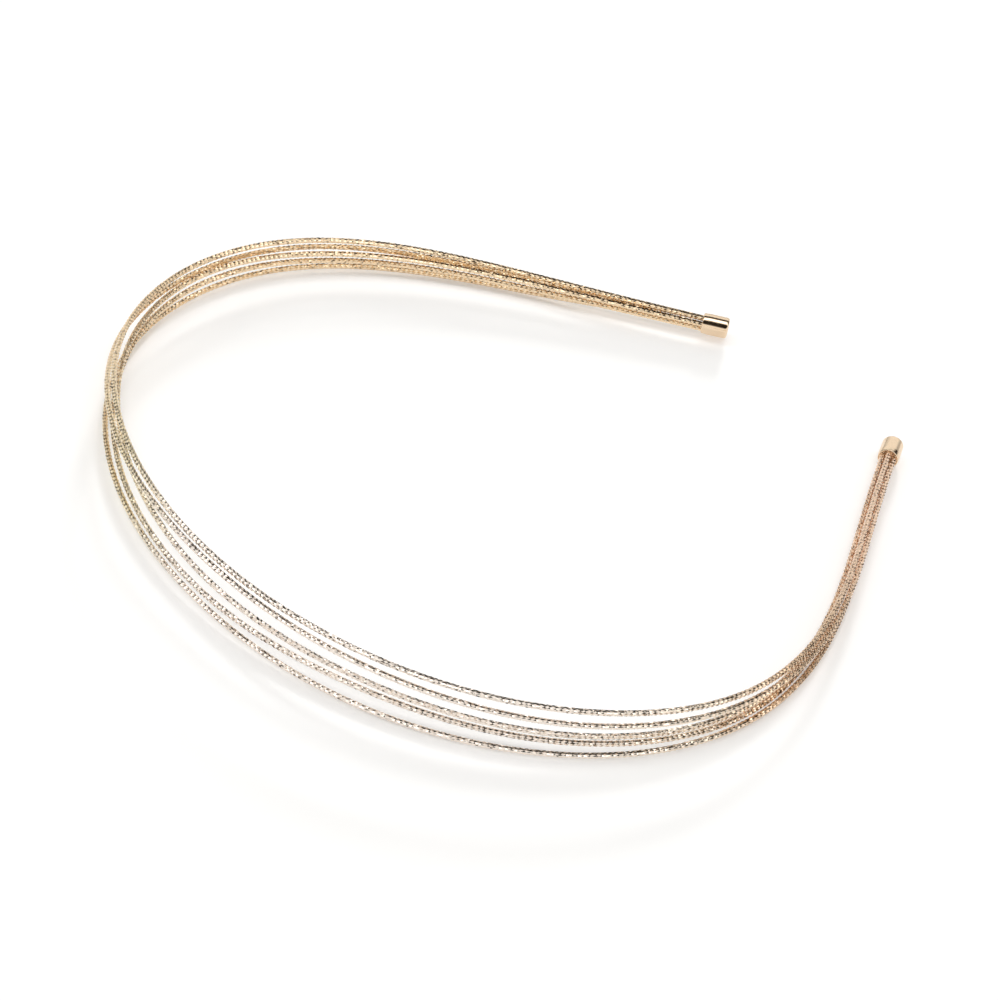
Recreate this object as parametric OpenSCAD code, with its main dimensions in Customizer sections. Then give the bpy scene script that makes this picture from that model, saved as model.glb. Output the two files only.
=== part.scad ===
/* [Arch] */
// Length of the arch along its middle line, from tip to tip
arch_length = 380; // [340:5:400]
// How much the two shoulders differ in bend, in degrees
sway = 17; // [0:1:25]

/* [Wires] */
// Diameter of each wire
wire_d = 1.15; // [0.9:0.05:1.15]
// Clear gap between neighbouring wires inside the end caps
wire_gap = 0.06; // [0.04:0.01:0.06]
// How far the wires fan out across the crown, 1 as in the height table
fan = 1; // [1:0.05:1.4]

/* [End caps] */
// Length of each end cap
cap_length = 4.8; // [4:0.2:6]
// Outer diameter of each end cap
cap_d = 3.9; // [3.8:0.1:4.6]
// Outer diameter of the lip at the cap's mouth
lip_d = 3.7; // [3.6:0.05:3.8]
// Length over which the lip widens to the full diameter
lip_length = 0.8; // [0.4:0.1:1.2]
// Clear gap between the bundle of wires and the cap's bore
cap_gap = 0.06; // [0.04:0.01:0.08]
// Thickness of the cap's closed end
cap_end = 0.8; // [0.6:0.1:1.2]
// Rounding of the closed end's rim
rim_r = 0.5; // [0.3:0.1:0.6]

/* [Detail] */
// Lengthwise steps along each wire
steps = 100; // [80:10:110]
// Sides around each wire
sides = 10; // [8:1:10]

/* [Hidden] */
wire_colour = [0.93, 0.83, 0.72];
cap_colour = [0.95, 0.84, 0.72];

// A place along the arch is a share of its half length: 0 at the crown's middle,
// -1 at the left tip and 1 at the right tip.

// Bend table, the same for both halves
// Columns: place, turn of the arch there in degrees per half length
AT = 0;
bends = [
    [0.00, 121],
    [0.20, 143],
    [0.40, 209],
    [0.55, 262],
    [0.70, 116],
    [0.85, 1],
    [1.00, -26]
];

// Height table: how far each wire lies above the middle plane of the arch
// Columns: place, wire 1, wire 2, wire 3, wire 4, wire 5
fan_heights = [
    [-0.8, 1.3, -0.35, 0.2, -1.3, -2.8],
    [-0.6, 2.6, 0.55, 0.3, -1.4, -3.5],
    [-0.4, 3.4, 0.6, 1.3, -1.35, -4.6],
    [-0.2, 4.9, 3.3, 0.5, -3.7, -4.7],
    [0.0, 4.9, 4.1, -1.5, -4.4, -5.1],
    [0.2, 4.7, 3.2, -1.4, -2.9, -5.35],
    [0.4, 4.0, 2.0, -1.8, -2.95, -4.5],
    [0.6, 2.4, 1.5, -1.9, -3.05, -3.35],
    [0.8, 1.7, 0.8, -0.4, -1.6, -2.5]
];

// The caps hold the five wires in a ring, at these angles from straight outward
seat_angles = [90, 18, 162, 234, 306];
seat_r = (wire_d + wire_gap) / 2 / sin(36);
seat_heights = [for (a = seat_angles) seat_r * sin(a)];
outward = [for (a = seat_angles) seat_r * cos(a)];

// Places where the lowest wire touches the surface that the arch lies on
touch_places = [0.2, -0.8, 0.8];
lowest_wire = 4;

// Sizes that follow from the ones above
half = arch_length / 2;
end_gap = 0.1;
wire_end = 1 - (cap_end + end_gap) / half;
mouth = 1 - cap_length / half;
wire_r = wire_d / 2;
cap_r = cap_d / 2;
bore_r = seat_r + wire_r + cap_gap;

function sum(list) = list * [for (value = list) 1];
function unit(v) = v / norm(v);

// Direction of the middle line, in degrees from the crown's own direction
function bend_between(a, b) = (b - a) * (lookup(a, bends) + lookup(b, bends)) / 2;
function turned(share) = sum([
    for (i = [0:len(bends) - 2])
        bend_between(bends[i][AT], max(bends[i][AT], min(share, bends[i + 1][AT])))
]);
function heading(place) =
    sign(place) * turned(abs(place)) + sway * (pow(place, 4) / 4 - pow(place, 2) / 2);

// Middle line, walked from the left end with the heading halfway along each step
step_share = 2 * wire_end / steps;
places = [for (i = [0:steps]) -wire_end + i * step_share];
function stride(i) =
    let (h = heading(places[i] + step_share / 2)) half * step_share * [cos(h), sin(h)];
mid_line = [for (i = 0, p = [0, 0]; i <= steps; p = p + stride(i), i = i + 1) p];

// Heights along a wire: a smooth curve through the rows, level inside the caps
seat_row = function (place) concat([place], seat_heights);
fan_row = function (row) [for (i = [0:5]) i == AT ? row[i] : fan * row[i]];
rows = concat(
    [seat_row(-1), seat_row(-mouth)],
    [for (row = fan_heights) fan_row(row)],
    [seat_row(mouth), seat_row(1)]
);
last_row = len(rows) - 1;
function slope(k, column) =
    k <= 1 || k >= last_row - 1
        ? 0
        : (rows[k + 1][column] - rows[k - 1][column]) / (rows[k + 1][AT] - rows[k - 1][AT]);
function ease(u, from, to, slope_from, slope_to) =
    from * (1 + 2 * u) * pow(1 - u, 2) + slope_from * u * pow(1 - u, 2)
    + to * (3 - 2 * u) * pow(u, 2) - slope_to * pow(u, 2) * (1 - u);
function height(wire, place) =
    let (
        k = max([for (k = [0:last_row - 1]) if (rows[k][AT] <= place) k]),
        span = rows[k + 1][AT] - rows[k][AT],
        column = wire + 1
    )
    ease(
        (place - rows[k][AT]) / span,
        rows[k][column],
        rows[k + 1][column],
        slope(k, column) * span,
        slope(k + 1, column) * span
    );

// Each wire's centre line, while the arch's middle plane is still level
function outward_at(i) = [sin(heading(places[i])), -cos(heading(places[i])), 0];
function centre(wire, i) =
    [mid_line[i].x, mid_line[i].y, height(wire, places[i])] + outward[wire] * outward_at(i);
wires = [for (wire = [0:4]) [for (i = [0:steps]) centre(wire, i)]];

// The arch is laid down on the three touching places
function index_of(place) = round((place + wire_end) / step_share);
touch = [for (place = touch_places) wires[lowest_wire][index_of(place)]];
up_axis = unit(cross(touch[2] - touch[0], touch[1] - touch[0]));
right_axis = unit([1, 0, 0] - up_axis.x * up_axis);
back_axis = cross(up_axis, right_axis);
function laid(p) = [p * right_axis, p * back_axis, p * up_axis];

// Corner points of a wire's rings, before the origin is set
function along(wire, i) = unit(wires[wire][min(i + 1, steps)] - wires[wire][max(i - 1, 0)]);
function ring(wire, i) =
    let (side_axis = outward_at(i), rise_axis = unit(cross(along(wire, i), side_axis)))
    [
        for (k = [0:sides - 1])
            let (a = 360 * k / sides)
            laid(wires[wire][i] + wire_r * (cos(a) * side_axis + sin(a) * rise_axis))
    ];
wire_corners = [for (wire = [0:4]) [for (i = [0:steps]) each ring(wire, i)]];

// Tips: the outer end of each cap, in line with the wires' ends
function tip(i, way) =
    let (h = heading(places[i]), ahead = way * [cos(h), sin(h), 0])
    let (foot = [mid_line[i].x, mid_line[i].y, 0])
    [laid(foot + (cap_end + end_gap) * ahead), laid(ahead)];
left_tip = tip(0, -1);
right_tip = tip(steps, 1);
function tip_reach(end) =
    end[0].y - rim_r * end[1].y + rim_r + (cap_r - rim_r) * sqrt(1 - pow(end[1].y, 2));

// The origin is under the middle of the whole, on the surface that it lies on
all_corners = [for (corners = wire_corners) each corners];
xs = [for (p = all_corners) p.x];
ys = [for (p = all_corners) p.y];
zs = [for (p = all_corners) p.z];
far_y = max(tip_reach(left_tip), tip_reach(right_tip));
origin = [(min(xs) + max(xs)) / 2, (min(ys) + far_y) / 2, min(zs)];

// Faces of a tube: two triangles for each side of each step, and the two ends
function corner(i, k) = i * sides + k % sides;
tube_faces = concat(
    [[for (k = [0:sides - 1]) corner(0, k)]],
    [
        for (i = [0:steps - 1], k = [0:sides - 1])
            each [
                [corner(i, k), corner(i + 1, k), corner(i + 1, k + 1)],
                [corner(i, k), corner(i + 1, k + 1), corner(i, k + 1)]
            ]
    ],
    [[for (k = [sides - 1:-1:0]) corner(steps, k)]]
);

// One wire, from inside the left cap to inside the right cap
module strand(wire) {
    color(wire_colour)
        translate(-origin)
            polyhedron(points = wire_corners[wire], faces = tube_faces);
}

// Half section of a cap: radius, then distance from the outer end
rim_arc = [for (a = [0:15:90]) [cap_r - rim_r + rim_r * sin(a), -rim_r + rim_r * cos(a)]];
cap_section = concat(
    [[0, -cap_end], [0, 0]],
    rim_arc,
    [
        [cap_r, lip_length - cap_length],
        [lip_d / 2, -cap_length],
        [bore_r, -cap_length],
        [bore_r, -cap_end]
    ]
);

// A cap: a blind sleeve over the ends of the five wires
module end_cap(end) {
    direction = end[1];
    color(cap_colour)
        translate(end[0] - origin)
            rotate([0, acos(direction.z), atan2(direction.y, direction.x)])
                rotate_extrude($fn = 96)
                    polygon(cap_section);
}

strand(0);  // strand_1
strand(1);  // strand_2
strand(2);  // strand_3
strand(3);  // strand_4
strand(4);  // strand_5
end_cap(left_tip);  // end_cap_left
end_cap(right_tip);  // end_cap_right
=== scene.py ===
"""Looks of the wire headband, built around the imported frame. Lengths are in metres in Blender.

The arch is worked out in millimetres, from the same named sizes as the solids, and then scaled.
"""
import math

import bpy
import numpy as np
from mathutils import Matrix, Vector


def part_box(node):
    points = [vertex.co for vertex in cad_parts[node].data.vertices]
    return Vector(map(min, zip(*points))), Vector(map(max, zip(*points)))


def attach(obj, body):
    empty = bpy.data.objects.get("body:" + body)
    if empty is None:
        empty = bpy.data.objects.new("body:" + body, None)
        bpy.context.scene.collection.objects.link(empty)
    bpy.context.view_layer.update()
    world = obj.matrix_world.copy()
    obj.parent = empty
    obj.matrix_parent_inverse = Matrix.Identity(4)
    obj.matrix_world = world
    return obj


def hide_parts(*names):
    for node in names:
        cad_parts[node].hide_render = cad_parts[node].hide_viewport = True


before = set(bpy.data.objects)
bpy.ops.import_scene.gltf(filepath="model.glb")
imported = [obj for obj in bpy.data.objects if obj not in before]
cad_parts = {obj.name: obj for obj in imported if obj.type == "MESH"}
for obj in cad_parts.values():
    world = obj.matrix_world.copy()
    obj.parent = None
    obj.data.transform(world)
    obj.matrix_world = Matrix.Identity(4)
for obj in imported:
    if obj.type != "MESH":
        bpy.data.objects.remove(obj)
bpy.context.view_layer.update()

MM = 0.001

# Arch, wires and caps: the solids' own sizes, in millimetres and degrees
ARCH_LENGTH = 380.0
SWAY = 17.0
WIRES = 5
WIRE_D = 1.15
WIRE_GAP = 0.06
CAP_LENGTH = 4.8
CAP_D = 3.9
LIP_D = 3.7
LIP_LENGTH = 0.8
RIM_R = 0.5
CAP_GAP = 0.06
CAP_END = 0.8
END_GAP = 0.1
SEAT_ANGLES = (90, 18, 162, 234, 306)
TOUCH_PLACES = (0.2, -0.8, 0.8)
LOWEST_WIRE = 4
STEPS = 100
SIDES = 10

# A place along the arch is a share of its half length: 0 at the crown's middle,
# -1 at the left tip and 1 at the right tip.

# Columns: place, turn of the arch there in degrees per half length
BENDS = np.array([
    (0.00, 121),
    (0.20, 143),
    (0.40, 209),
    (0.55, 262),
    (0.70, 116),
    (0.85, 1),
    (1.00, -26),
])

# Columns: place, then the height of wires 1 to 5 above the arch's middle plane
AT = 0
FAN_HEIGHTS = np.array([
    (-0.8, 1.3, -0.35, 0.2, -1.3, -2.8),
    (-0.6, 2.6, 0.55, 0.3, -1.4, -3.5),
    (-0.4, 3.4, 0.6, 1.3, -1.35, -4.6),
    (-0.2, 4.9, 3.3, 0.5, -3.7, -4.7),
    (0.0, 4.9, 4.1, -1.5, -4.4, -5.1),
    (0.2, 4.7, 3.2, -1.4, -2.9, -5.35),
    (0.4, 4.0, 2.0, -1.8, -2.95, -4.5),
    (0.6, 2.4, 1.5, -1.9, -3.05, -3.35),
    (0.8, 1.7, 0.8, -0.4, -1.6, -2.5),
])

# Cut pattern on the wires, in millimetres and degrees
CUT_PITCH = 0.95  # length of a cut diamond
CUTS_AROUND = 6  # diamonds side by side round a wire
CUT_DEPTH = 0.09
PEAK_R = 0.546  # radius at the corners that stay uncut
CUT_TURN = 2.7  # turn of the pattern round the wire at the crown's middle
CUT_TWIST = 18.0  # how much further it turns from there to the right tip
CUT_SHIFTS = (0.0, 0.6, -0.6, 0.3, -0.3)  # the turn that each wire has besides
CUT_UNEVEN = 0.024  # most that a corner lies too deep
CUT_WANDER = 2.0  # most that a corner lies aside, round the wire
CUT_SLIP = 0.10  # most that a corner lies aside, along the wire
CUT_SEED = 11

# Softened edges of the caps, in millimetres and degrees
CAP_SIDES = 96
CAP_EASE = 0.01  # how far the side lies inside the solid's
RIM_STEP = 7.5  # from ring to ring of the rounded rim
RIM_FLAT = 0.03  # from the rounded rim to the next ring on the closed end
RIM_SIDE = 0.05  # from the rounded rim to the next ring on the side
FLAT_SHARE = 0.5  # share of the radius at the innermost ring of both ends
MOUTH_DIP = 0.02  # how deep the mouth's closed middle lies behind the lip

# Columns: change of radius, and shift towards the closed end
SHOULDER = ((0.0, 0.35), (-0.01, 0.15), (-0.04, -0.05))
LIP_EDGE = ((0.02, 0.2), (-0.01, 0.08), (-0.08, 0.0))
MOUTH_EDGE = ((0.0, 0.0), (-0.03, 0.05), (-0.10, 0.09), (-0.25, 0.05))

# Shades of the plate: its own golden tone, with painted reflections of the surroundings that change
# it along the arch
GOLD = (0.87, 0.69, 0.48)
OLIVE = (0.84, 0.74, 0.54)
CREAM = (0.88, 0.80, 0.73)
BEIGE = (0.84, 0.73, 0.61)
BRONZE = (0.78, 0.58, 0.41)
PEACH = (0.89, 0.67, 0.51)

# Stretches over which the painted reflections change the plate's shade, in metres
ARCH_X = (-0.072, 0.072)  # the crown's shades, from left to right
ARCH_Y = (-0.067, 0.067)  # the right side's shades, from the crown to the tips
FAR_LEG_Y = (-0.035, -0.010)  # where the left end passes into the golden far leg
MIDDLE_X = (-0.005, 0.015)  # where the crown's shades pass into the right side's

# Columns: share of the stretch or of the grain's range, and the colour there
CROWN_SHADES = ((0.1, GOLD), (0.33, OLIVE), (0.48, CREAM))
RIGHT_SHADES = ((0.22, CREAM), (0.40, BEIGE), (0.53, BRONZE), (0.65, BRONZE), (0.78, PEACH))
WEAR_SHADES = ((0.3, (0.93, 0.92, 0.90)), (0.7, (1.0, 1.0, 1.0)))
CAP_SHADES = ((0.3, (0.83, 0.64, 0.45)), (0.7, (0.86, 0.68, 0.49)))
FLOOR_SHADES = ((0.3, (0.93, 0.93, 0.93)), (0.7, (0.95, 0.95, 0.95)))

# Grain, gloss and relief; a grain's scale is its number of grains a metre
WIRE_GRAIN = 2500
CAP_GRAIN = 900
FLOOR_GRAIN = 6
FINE_DETAIL = 3
PLAIN_DETAIL = 2
WIRE_ROUGHNESS = (0.06, 0.13)
CAP_ROUGHNESS = (0.10, 0.20)
BUMP_DEPTH = 0.00001
BUMP_STRENGTH = 0.5
FLOOR_ROUGHNESS = 0.9
FLOOR_SHEEN = 0.1
FLOOR_GLOW = 0.152
FLOOR_REACH = 3000.0  # millimetres from the middle to each edge

# Camera: where it looks, in millimetres, and from where, in degrees
LOOK_AT = (8.16, -8.67, 4.58)
CAMERA_AZIMUTH = 48.6
CAMERA_ELEVATION = 37.1
CAMERA_ROLL = 9.0
CAMERA_DISTANCE = 700.0
LENS = 149.0
SENSOR = 36.0
CLIP_RANGE = (0.01, 20.0)  # metres

# Strips across the sky: degrees from straight up, above 0 towards the back
FRONT_STRIP = (-65.0, -19.0)
LAMP_STRIP = (-12.0, 9.0)
BACK_STRIP = (15.0, 38.0)
HAZE = (64.0, 80.0)  # where it starts and where it is full
STRIP_LOW = 20.0  # degrees above the horizon where strips and lamp end
EDGE = 3.0  # softness of the edges in degrees, doubled on the cards' sides

# Dark cards at both sides: degrees from straight aside to the back, and above the horizon
SIDE_CARDS = (2.0, 46.0)
SIDE_CARDS_RISE = (8.0, 58.0)

# Light strengths; the key and fill lights' size and place are in degrees
SKY_STRENGTH = 1.05
LAMP_GAIN = 2.5
HAZE_SHADE = 0.4
SKY_SHADES = ((0.0, (1.0, 0.99, 0.97)), (1.0, (0.02, 0.016, 0.012)))
KEY = {"strength": 1.3, "size": 8.0, "side": -4.0, "elevation": 19.0}
FILL = {"strength": 0.44, "size": 16.0, "side": 180.0, "elevation": 50.0}

# Sizes that follow from the ones above
half = ARCH_LENGTH / 2
wire_end = 1 - (CAP_END + END_GAP) / half
mouth = 1 - CAP_LENGTH / half
wire_r = WIRE_D / 2
cap_r = CAP_D / 2
seat_r = (WIRE_D + WIRE_GAP) / 2 / math.sin(math.radians(180 / WIRES))
seat_angles = np.radians(SEAT_ANGLES)
seat_heights = seat_r * np.sin(seat_angles)
outward = seat_r * np.cos(seat_angles)
bore_r = seat_r + wire_r + CAP_GAP
cut_rings = int(2 * wire_end * half / (CUT_PITCH / 2)) + 1
cut_columns = 2 * CUTS_AROUND


# The arch: its middle line and the wires' centre lines
def turned(share):
    """Degrees that the middle line turns from the crown to a share of the half arch."""
    total = np.zeros_like(share)
    for (a, bend_a), (b, bend_b) in zip(BENDS[:-1], BENDS[1:]):
        far = np.clip(share, a, b)
        bend_far = bend_a + (bend_b - bend_a) * (far - a) / (b - a)
        total += (far - a) * (bend_a + bend_far) / 2
    return total


def heading(place):
    """Direction of the middle line, in radians from the crown's own direction."""
    degrees = np.sign(place) * turned(np.abs(place)) + SWAY * (place**4 / 4 - place**2 / 2)
    return np.radians(degrees)


def ease(u, start, end, slope_start, slope_end):
    """Smooth curve from start to end, as u goes from 0 to 1."""
    return (
        start * (1 + 2 * u) * (1 - u) ** 2
        + slope_start * u * (1 - u) ** 2
        + end * (3 - 2 * u) * u**2
        - slope_end * u**2 * (1 - u)
    )


# The solids' own stations along the arch, walked with the heading halfway along each step
walk = np.linspace(-wire_end, wire_end, STEPS + 1)
step_share = walk[1] - walk[0]
stride = half * step_share
step_heading = heading((walk[:-1] + walk[1:]) / 2)
steps_taken = stride * np.stack([np.cos(step_heading), np.sin(step_heading)], axis=1)
walked = np.vstack([np.zeros((1, 2)), np.cumsum(steps_taken, axis=0)])
walked_slope = stride * np.stack([np.cos(heading(walk)), np.sin(heading(walk))], axis=1)


def middle_line(places):
    """Points of the middle line: a smooth curve through the stations."""
    k = np.clip(np.searchsorted(walk, places, side="right") - 1, 0, STEPS - 1)
    u = ((places - walk[k]) / step_share)[:, None]
    return ease(u, walked[k], walked[k + 1], walked_slope[k], walked_slope[k + 1])


def height(wire, places):
    """Height of a wire above the middle plane: a smooth curve, level inside the caps."""
    column = FAN_HEIGHTS[:, wire + 1]
    seat = seat_heights[wire]
    at = np.concatenate([[-1, -mouth], FAN_HEIGHTS[:, AT], [mouth, 1]])
    z = np.concatenate([[seat, seat], column, [seat, seat]])
    slope = np.zeros_like(z)
    slope[2:-2] = (z[3:-1] - z[1:-3]) / (at[3:-1] - at[1:-3])
    k = np.clip(np.searchsorted(at, places, side="right") - 1, 0, len(at) - 2)
    span = at[k + 1] - at[k]
    return ease((places - at[k]) / span, z[k], z[k + 1], slope[k] * span, slope[k + 1] * span)


def outward_dirs(places):
    """Level directions across the middle line, to the outside of the arch."""
    h = heading(places)
    return np.stack([np.sin(h), -np.cos(h), np.zeros_like(h)], axis=1)


def centre_line(wire, places):
    """Points of a wire's centre line, while the arch's middle plane is still level."""
    points = np.column_stack([middle_line(places), height(wire, places)])
    return points + outward[wire] * outward_dirs(places)


def unit(v):
    """Vectors of length 1 with the same directions."""
    return v / np.linalg.norm(v, axis=-1, keepdims=True)


def ring_axes(line, places):
    """Two directions across a wire at each of its points: outward, and upward from there."""
    out = outward_dirs(places)
    ahead = unit(np.gradient(line, axis=0))
    return out, unit(np.cross(ahead, out))


# The arch is laid down on the places where its lowest wire touches the surface
touch_index = [int(round((place + wire_end) / step_share)) for place in TOUCH_PLACES]
touch = centre_line(LOWEST_WIRE, walk)[touch_index]
up_axis = unit(np.cross(touch[2] - touch[0], touch[1] - touch[0]))
right_axis = unit(np.array([1.0, 0.0, 0.0]) - up_axis[0] * up_axis)
back_axis = np.cross(up_axis, right_axis)
laid_axes = np.stack([right_axis, back_axis, up_axis], axis=1)


def laid_origin():
    """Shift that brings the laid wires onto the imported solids, by the low corner of their box."""
    corners = []
    for wire in range(WIRES):
        line = centre_line(wire, walk)
        out, rise = ring_axes(line, walk)
        for k in range(SIDES):
            a = 2 * math.pi * k / SIDES
            corners.append((line + wire_r * (math.cos(a) * out + math.sin(a) * rise)) @ laid_axes)
    low = np.array([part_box("strand_%d" % (i + 1))[0] for i in range(WIRES)]).min(axis=0) / MM
    return low - np.concatenate(corners).min(axis=0)


laid_shift = laid_origin()


def laid(points):
    """Points of the level arch, moved to where they are when it lies on the surface."""
    return points @ laid_axes + laid_shift


# Meshes
def mesh_object(name, points, faces, material, smooth=False):
    """A mesh object from points in millimetres."""
    mesh = bpy.data.meshes.new(name)
    mesh.from_pydata([tuple(p) for p in np.asarray(points) * MM], [], faces)
    mesh.materials.append(material)
    mesh.polygons.foreach_set("use_smooth", [smooth] * len(mesh.polygons))
    mesh.update()
    obj = bpy.data.objects.new(name, mesh)
    bpy.context.scene.collection.objects.link(obj)
    return obj


def end_faces(rings, sides):
    """The two flat ends of a tube of rings."""
    last = (rings - 1) * sides
    return [tuple(reversed(range(sides))), tuple(last + k for k in range(sides))]


def cut_points(wire):
    """Corners of a wire's cut diamonds, uncut and cut ones by turns, ring after ring."""
    places = np.linspace(-wire_end, wire_end, cut_rings)
    line = centre_line(wire, places)
    out, rise = ring_axes(line, places)
    ahead = np.cross(out, rise)
    ring = np.arange(cut_rings)[:, None]
    column = np.arange(cut_columns)[None, :]
    turn = np.radians(CUT_TURN + CUT_SHIFTS[wire] + CUT_TWIST * places)
    angle = 2 * math.pi * column / cut_columns + turn[:, None]
    radius = np.where((ring + column) % 2 == 0, PEAK_R, PEAK_R - CUT_DEPTH)
    uneven = np.random.default_rng(CUT_SEED + wire)
    radius = radius - CUT_UNEVEN * uneven.random(radius.shape)
    angle = angle + np.radians(CUT_WANDER) * uneven.uniform(-1, 1, radius.shape)
    slip = CUT_SLIP * uneven.uniform(-1, 1, radius.shape)
    slip[[0, -1]] = 0
    across = np.cos(angle)[..., None] * out[:, None, :] + np.sin(angle)[..., None] * rise[:, None, :]
    points = line[:, None, :] + radius[..., None] * across + slip[..., None] * ahead[:, None, :]
    return laid(points.reshape(-1, 3))


def cut_faces():
    """Faces of a wire: each field is folded from one cut corner to the other."""
    faces = []
    for i in range(cut_rings - 1):
        for k in range(cut_columns):
            a = i * cut_columns + k
            b = i * cut_columns + (k + 1) % cut_columns
            c = a + cut_columns
            d = b + cut_columns
            if (i + k) % 2 == 0:
                faces += [(a, b, c), (b, d, c)]
            else:
                faces += [(a, d, c), (a, b, d)]
    return faces + end_faces(cut_rings, cut_columns)


def cap_section():
    """Half section of a cap: radius, then place along its axis, 0 at the closed end."""
    side_r = cap_r - CAP_EASE
    tip_r = side_r - RIM_R
    lip_r = LIP_D / 2
    shoulder = LIP_LENGTH - CAP_LENGTH
    arc = np.radians(np.arange(0, 90 + RIM_STEP, RIM_STEP))
    return [
        (tip_r * FLAT_SHARE, 0),
        (tip_r - RIM_FLAT, 0),
        *[(tip_r + RIM_R * math.sin(a), -RIM_R + RIM_R * math.cos(a)) for a in arc],
        (side_r, -RIM_R - RIM_SIDE),
        *[(side_r + change, shoulder + ahead) for change, ahead in SHOULDER],
        *[(lip_r + change, ahead - CAP_LENGTH) for change, ahead in LIP_EDGE],
        *[(bore_r + change, ahead - CAP_LENGTH) for change, ahead in MOUTH_EDGE],
        (bore_r * FLAT_SHARE, MOUTH_DIP - CAP_LENGTH),
    ]


def cap_points(end, way):
    """Corners of a cap: its section, turned round the line ahead of one end of the arch."""
    place = walk[[end]]
    h = heading(place)[0]
    ahead = way * np.array([math.cos(h), math.sin(h), 0.0])
    side = outward_dirs(place)[0]
    rise = np.array([0.0, 0.0, 1.0])
    tip = np.append(walked[end], 0.0) + (CAP_END + END_GAP) * ahead
    points = []
    for radius, distance in cap_section():
        for k in range(CAP_SIDES):
            a = 2 * math.pi * k / CAP_SIDES
            across = math.cos(a) * side + math.sin(a) * rise
            points.append(tip + distance * ahead + radius * across)
    return laid(np.array(points))


def cap_faces(way):
    """Faces of a cap, its mouth closed around the wires; the left cap's are turned about."""
    rings = len(cap_section())
    faces = []
    for i in range(rings - 1):
        for k in range(CAP_SIDES):
            a = i * CAP_SIDES + k
            b = i * CAP_SIDES + (k + 1) % CAP_SIDES
            faces.append((a, b, b + CAP_SIDES, a + CAP_SIDES))
    faces += end_faces(rings, CAP_SIDES)
    if way < 0:
        faces = [tuple(reversed(face)) for face in faces]
    return faces


# Shader nodes
def mapped(tree, socket, start, end, to=(0.0, 1.0)):
    """A value's way from start to end, as a number between two others."""
    node = tree.nodes.new("ShaderNodeMapRange")
    node.inputs["From Min"].default_value = start
    node.inputs["From Max"].default_value = end
    node.inputs["To Min"].default_value = to[0]
    node.inputs["To Max"].default_value = to[1]
    tree.links.new(socket, node.inputs["Value"])
    return node.outputs["Result"]


def combined(tree, operation, first, second):
    """Two values put together by a sum, product or the like."""
    node = tree.nodes.new("ShaderNodeMath")
    node.operation = operation
    tree.links.new(first, node.inputs[0])
    tree.links.new(second, node.inputs[1])
    return node.outputs[0]


def between(tree, socket, low, high, edge):
    """1 between two values and 0 outside, with soft edges."""
    above = mapped(tree, socket, low - edge, low + edge)
    below = mapped(tree, socket, high + edge, high - edge)
    return combined(tree, "MULTIPLY", above, below)


def ramp(tree, socket, shades):
    """The colour that a table of shades has for a value."""
    node = tree.nodes.new("ShaderNodeValToRGB")
    elements = node.color_ramp.elements
    while len(elements) > 1:
        elements.remove(elements[0])
    first_position, first_colour = shades[0]
    elements[0].position = first_position
    elements[0].color = (*first_colour, 1)
    for position, colour in shades[1:]:
        elements.new(position).color = (*colour, 1)
    tree.links.new(socket, node.inputs[0])
    return node.outputs[0]


def mix_node(tree, first, blend="MIX"):
    """A node that mixes a second colour into the first one, wholly unless its factor is linked."""
    node = tree.nodes.new("ShaderNodeMix")
    node.data_type = "RGBA"
    node.blend_type = blend
    node.inputs["Factor"].default_value = 1.0
    tree.links.new(first, node.inputs["A"])
    return node


def split(tree, vector):
    """A vector's X, Y and Z as separate values."""
    node = tree.nodes.new("ShaderNodeSeparateXYZ")
    tree.links.new(vector, node.inputs[0])
    return node.outputs


def grained(tree, scale, detail):
    """Grain that stays in place on its piece."""
    place = tree.nodes.new("ShaderNodeTexCoord")
    noise = tree.nodes.new("ShaderNodeTexNoise")
    noise.inputs["Scale"].default_value = scale
    noise.inputs["Detail"].default_value = detail
    tree.links.new(place.outputs["Object"], noise.inputs["Vector"])
    return noise.outputs["Fac"]


# Materials
def node_material(name):
    """A new material with its node tree and its shader."""
    material = bpy.data.materials.new(name)
    material.use_nodes = True
    return material, material.node_tree, material.node_tree.nodes["Principled BSDF"]


def make_metal(tree, shader, grain, roughness):
    """Bare metal, its gloss and fine relief given by the grain."""
    shader.inputs["Metallic"].default_value = 1.0
    tree.links.new(mapped(tree, grain, 0.0, 1.0, roughness), shader.inputs["Roughness"])
    bump = tree.nodes.new("ShaderNodeBump")
    bump.inputs["Strength"].default_value = BUMP_STRENGTH
    bump.inputs["Distance"].default_value = BUMP_DEPTH
    tree.links.new(grain, bump.inputs["Height"])
    tree.links.new(bump.outputs["Normal"], shader.inputs["Normal"])


def arch_tone_and_reflection(tree):
    """Shade of the plate with painted reflections: by X over the crown, by Y on the right, and gold
    on the far leg.
    """
    axis = split(tree, tree.nodes.new("ShaderNodeTexCoord").outputs["Object"])
    crown = ramp(tree, mapped(tree, axis["X"], *ARCH_X), CROWN_SHADES)
    right = ramp(tree, mapped(tree, axis["Y"], *ARCH_Y), RIGHT_SHADES)
    left = mix_node(tree, crown)
    left.inputs["B"].default_value = (*GOLD, 1)
    tree.links.new(mapped(tree, axis["Y"], *FAR_LEG_Y), left.inputs["Factor"])
    whole = mix_node(tree, left.outputs["Result"])
    tree.links.new(right, whole.inputs["B"])
    tree.links.new(mapped(tree, axis["X"], *MIDDLE_X), whole.inputs["Factor"])
    return whole.outputs["Result"]


def wire_metal():
    """Pale plate with painted reflections along the arch: cream over the crown, golden to its left
    and peach to its right.
    """
    material, tree, shader = node_material("wire_plate_and_reflection")
    grain = grained(tree, WIRE_GRAIN, FINE_DETAIL)
    worn = mix_node(tree, arch_tone_and_reflection(tree), "MULTIPLY")
    tree.links.new(ramp(tree, grain, WEAR_SHADES), worn.inputs["B"])
    tree.links.new(worn.outputs["Result"], shader.inputs["Base Color"])
    make_metal(tree, shader, grain, WIRE_ROUGHNESS)
    return material


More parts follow.
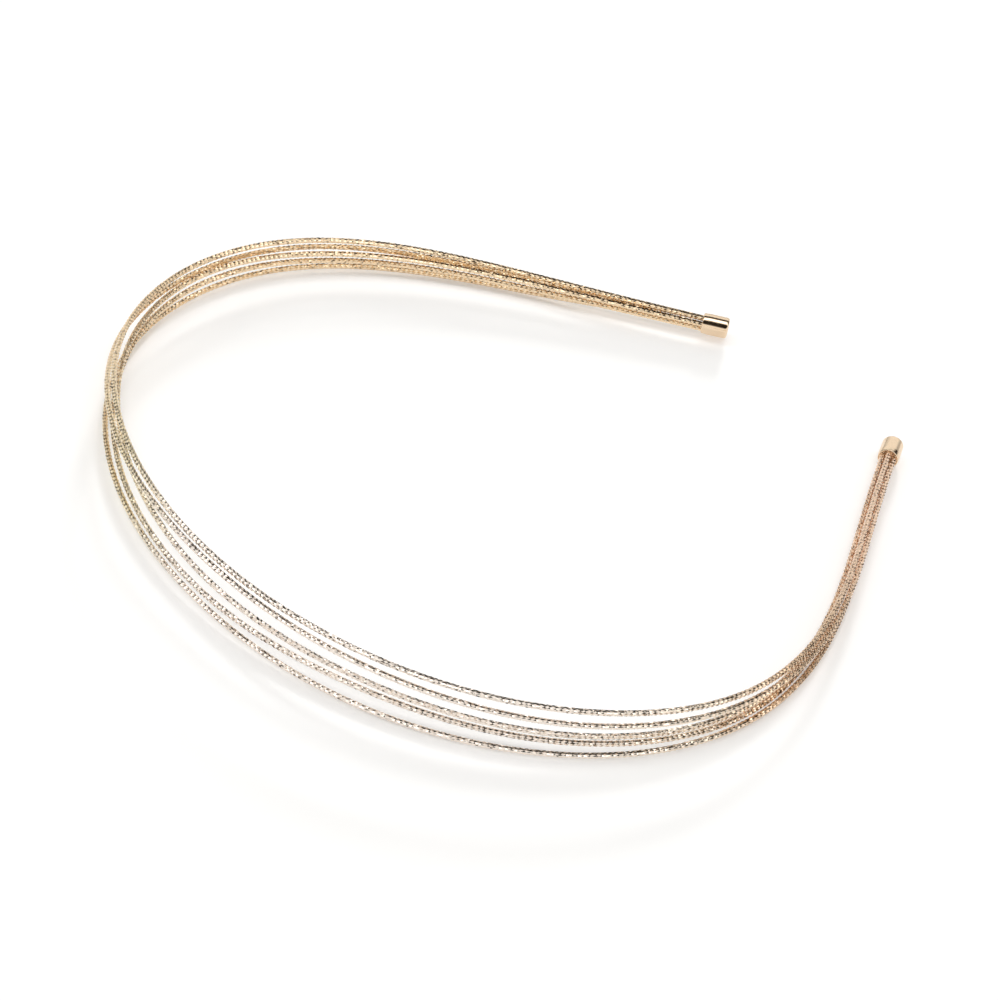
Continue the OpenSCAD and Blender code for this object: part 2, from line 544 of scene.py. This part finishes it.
def cap_metal():
    """Polished golden plate, very slightly mottled."""
    material, tree, shader = node_material("cap_plate")
    grain = grained(tree, CAP_GRAIN, PLAIN_DETAIL)
    tree.links.new(ramp(tree, grain, CAP_SHADES), shader.inputs["Base Color"])
    make_metal(tree, shader, grain, CAP_ROUGHNESS)
    return material


def floor_white():
    """Matt white, very slightly mottled, with a weak glow of its own."""
    material, tree, shader = node_material("floor_white")
    shader.inputs["Roughness"].default_value = FLOOR_ROUGHNESS
    shader.inputs["Specular IOR Level"].default_value = FLOOR_SHEEN
    grain = grained(tree, FLOOR_GRAIN, PLAIN_DETAIL)
    tree.links.new(ramp(tree, grain, FLOOR_SHADES), shader.inputs["Base Color"])
    shader.inputs["Emission Color"].default_value = (1, 1, 1, 1)
    shader.inputs["Emission Strength"].default_value = FLOOR_GLOW
    return material


# Pieces
def make_wire(wire, material):
    """A cut wire in the place of a strand."""
    node = "strand_%d" % (wire + 1)
    piece = mesh_object("cut_wire_%d" % (wire + 1), cut_points(wire), cut_faces(), material)
    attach(piece, "root")
    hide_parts(node)


def make_cap(name, node, end, way, material):
    """A cap at one end of the arch, facing the way along it that is given."""
    piece = mesh_object(name, cap_points(end, way), cap_faces(way), material, smooth=True)
    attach(piece, "root")
    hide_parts(node)


# Stage: a wide pale floor, a studio sky for the reflections, two soft lights and the camera
def make_floor():
    """A level white ground, much wider than the picture."""
    reach = FLOOR_REACH
    corners = [(-reach, -reach, 0), (reach, -reach, 0), (reach, reach, 0), (-reach, reach, 0)]
    floor = mesh_object("floor", corners, [(0, 1, 2, 3)], floor_white())


def sky_angles(tree):
    """A sky direction's lean to the back, its turn from aside to the back, and its rise."""
    place = tree.nodes.new("ShaderNodeTexCoord")
    turn = tree.nodes.new("ShaderNodeMapping")
    turn.inputs["Rotation"].default_value[2] = -math.radians(CAMERA_AZIMUTH)
    tree.links.new(place.outputs["Generated"], turn.inputs["Vector"])
    axis = split(tree, turn.outputs["Vector"])
    aside = tree.nodes.new("ShaderNodeMath")
    aside.operation = "ABSOLUTE"
    tree.links.new(axis["X"], aside.inputs[0])
    lean = combined(tree, "ARCTAN2", axis["Y"], axis["Z"])
    side = combined(tree, "ARCTAN2", axis["Y"], aside.outputs[0])
    return lean, side, axis["Z"]


def sky_darkness(tree, lean, side, rise, above):
    """How dark the sky is: two strips overhead, a card at each side, and haze at the back."""
    edge = math.radians(EDGE)
    front = between(tree, lean, *map(math.radians, FRONT_STRIP), edge)
    back = between(tree, lean, *map(math.radians, BACK_STRIP), edge)
    strips = combined(tree, "MULTIPLY", combined(tree, "ADD", front, back), above)
    card_low, card_high = (math.sin(math.radians(a)) for a in SIDE_CARDS_RISE)
    card_side = between(tree, side, *map(math.radians, SIDE_CARDS), 2 * edge)
    card_rise = between(tree, rise, card_low, card_high, edge)
    cards = combined(tree, "MULTIPLY", card_side, card_rise)
    haze = mapped(tree, lean, *map(math.radians, HAZE), (0.0, HAZE_SHADE))
    return combined(tree, "MAXIMUM", combined(tree, "MAXIMUM", strips, cards), haze)


def make_studio():
    """Sky for the reflections: a lamp between two dark strips, dark side cards and a dim back."""
    world = bpy.data.worlds.new("studio")
    world.use_nodes = True
    tree = world.node_tree
    background = tree.nodes["Background"]
    lean, side, rise = sky_angles(tree)
    edge = math.radians(EDGE)
    low = math.sin(math.radians(STRIP_LOW))
    above = mapped(tree, rise, low - edge, low + edge)
    shade = ramp(tree, sky_darkness(tree, lean, side, rise, above), SKY_SHADES)
    tree.links.new(shade, background.inputs["Color"])
    lamp = between(tree, lean, *map(math.radians, LAMP_STRIP), edge)
    lamp = combined(tree, "MULTIPLY", lamp, above)
    strength = mapped(tree, lamp, 0.0, 1.0, (SKY_STRENGTH, SKY_STRENGTH * LAMP_GAIN))
    tree.links.new(strength, background.inputs["Strength"])
    bpy.context.scene.world = world


def direction(azimuth, elevation, way):
    """Direction at angles in radians, on the camera's side for a way of 1 and behind for -1."""
    return Vector((
        way * math.sin(azimuth) * math.cos(elevation),
        -way * math.cos(azimuth) * math.cos(elevation),
        math.sin(elevation),
    ))


def make_light(name, strength, size, side, elevation):
    """A broad soft light, turned by an angle from straight behind the band; it leaves no glare."""
    light = bpy.data.lights.new(name, "SUN")
    light.angle = math.radians(size)
    light.energy = strength
    lamp = bpy.data.objects.new(name, light)
    ray = direction(math.radians(CAMERA_AZIMUTH + side), math.radians(elevation), -1)
    lamp.rotation_euler = ray.to_track_quat("Z", "Y").to_euler()
    lamp.visible_glossy = False
    bpy.context.scene.collection.objects.link(lamp)


def make_camera():
    """The photo's camera, rolled a little to one side."""
    azimuth = math.radians(CAMERA_AZIMUTH)
    back = direction(azimuth, math.radians(CAMERA_ELEVATION), 1)
    right = Vector((math.cos(azimuth), math.sin(azimuth), 0))
    roll = Matrix.Rotation(math.radians(CAMERA_ROLL), 3, "Z")
    turn = Matrix((right, back.cross(right), back)).transposed() @ roll
    place = (Vector(LOOK_AT) + CAMERA_DISTANCE * back) * MM
    data = bpy.data.cameras.new("camera")
    data.lens = LENS
    data.sensor_width = SENSOR
    data.clip_start, data.clip_end = CLIP_RANGE
    camera = bpy.data.objects.new("camera", data)
    camera.matrix_world = Matrix.Translation(place) @ turn.to_4x4()
    bpy.context.scene.collection.objects.link(camera)
    bpy.context.scene.camera = camera


# The whole scene
# The wires share one plate; its shades along the arch are partly painted reflection
wire_plate_and_reflection = wire_metal()
for wire in range(WIRES):
    make_wire(wire, wire_plate_and_reflection)
cap_plate = cap_metal()
make_cap("cap_left", "end_cap_left", 0, -1, cap_plate)
make_cap("cap_right", "end_cap_right", -1, 1, cap_plate)
make_floor()
make_studio()
make_light("key", **KEY)
make_light("fill", **FILL)
make_camera()
bpy.context.scene.view_settings.view_transform = "Standard"
